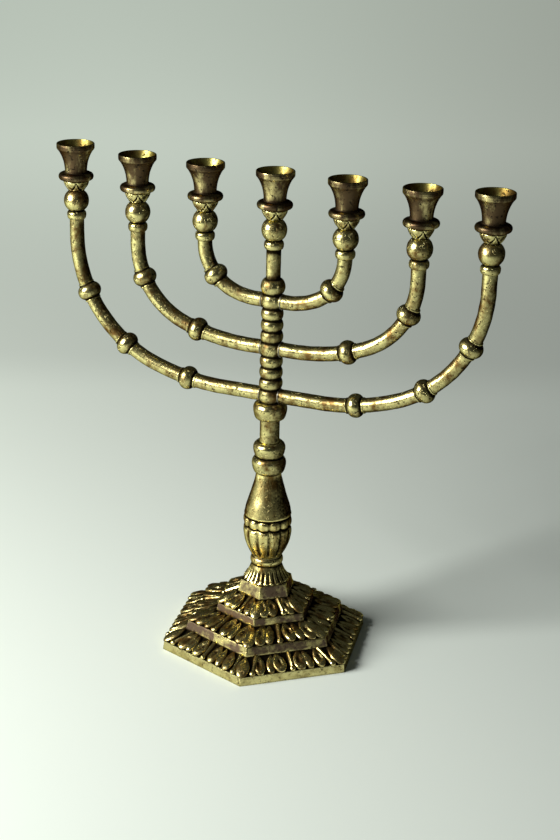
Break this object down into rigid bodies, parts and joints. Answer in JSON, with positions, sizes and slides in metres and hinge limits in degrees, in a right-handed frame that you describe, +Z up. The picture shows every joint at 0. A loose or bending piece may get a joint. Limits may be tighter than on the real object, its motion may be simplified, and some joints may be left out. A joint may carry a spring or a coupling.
{
  "type": "branched candle stand",
  "caption": "Brass branched candle stand for devotional lights, with curved beaded arms in one row, turned candle cups and a stepped six-sided foot.",
  "frame": {"origin": "on the column's axis, on the surface that the foot stands on", "axes": "+Z up the column, X along the row of arms and cups, Y front to back through the thin direction"},
  "size_m": [0.2644, 0.122, 0.2822],
  "materials": {
    "cast_brass": "sand-cast brass, half polished, dark brown tarnish left in the recesses",
    "turned_brass": "lathe-turned brass with fine turning lines and brown speckled tarnish",
    "steel_hardware": "plain zinc-coated steel"
  },
  "bodies": {
    "stand": {"foot_casting": "cast_brass", "tie_rod": "steel_hardware", "tie_washer": "steel_hardware", "tie_nut": "steel_hardware", "foot_collar": "cast_brass", "baluster": "cast_brass", "ring_collar": "turned_brass", "stem": "turned_brass", "column": "cast_brass", "arm_inner_left": "cast_brass", "arm_inner_right": "cast_brass", "arm_middle_left": "cast_brass", "arm_middle_right": "cast_brass", "arm_outer_left": "cast_brass", "arm_outer_right": "cast_brass"},
    "cup_body_centre": {"cup_centre": "turned_brass"},
    "cup_body_inner_left": {"cup_inner_left": "turned_brass"},
    "cup_body_inner_right": {"cup_inner_right": "turned_brass"},
    "cup_body_middle_left": {"cup_middle_left": "turned_brass"},
    "cup_body_middle_right": {"cup_middle_right": "turned_brass"},
    "cup_body_outer_left": {"cup_outer_left": "turned_brass"},
    "cup_body_outer_right": {"cup_outer_right": "turned_brass"}
  },
  "joints": [
    {"name": "unscrew_centre", "type": "slide", "parent": "stand", "child": "cup_body_centre", "axis": [0, 0, 1], "range_m": [0, 0.008]},
    {"name": "unscrew_inner_left", "type": "slide", "parent": "stand", "child": "cup_body_inner_left", "axis": [0, 0, 1], "range_m": [0, 0.008]},
    {"name": "unscrew_inner_right", "type": "slide", "parent": "stand", "child": "cup_body_inner_right", "axis": [0, 0, 1], "range_m": [0, 0.008]},
    {"name": "unscrew_middle_left", "type": "slide", "parent": "stand", "child": "cup_body_middle_left", "axis": [0, 0, 1], "range_m": [0, 0.008]},
    {"name": "unscrew_middle_right", "type": "slide", "parent": "stand", "child": "cup_body_middle_right", "axis": [0, 0, 1], "range_m": [0, 0.008]},
    {"name": "unscrew_outer_left", "type": "slide", "parent": "stand", "child": "cup_body_outer_left", "axis": [0, 0, 1], "range_m": [0, 0.008]},
    {"name": "unscrew_outer_right", "type": "slide", "parent": "stand", "child": "cup_body_outer_right", "axis": [0, 0, 1], "range_m": [0, 0.008]}
  ]
}
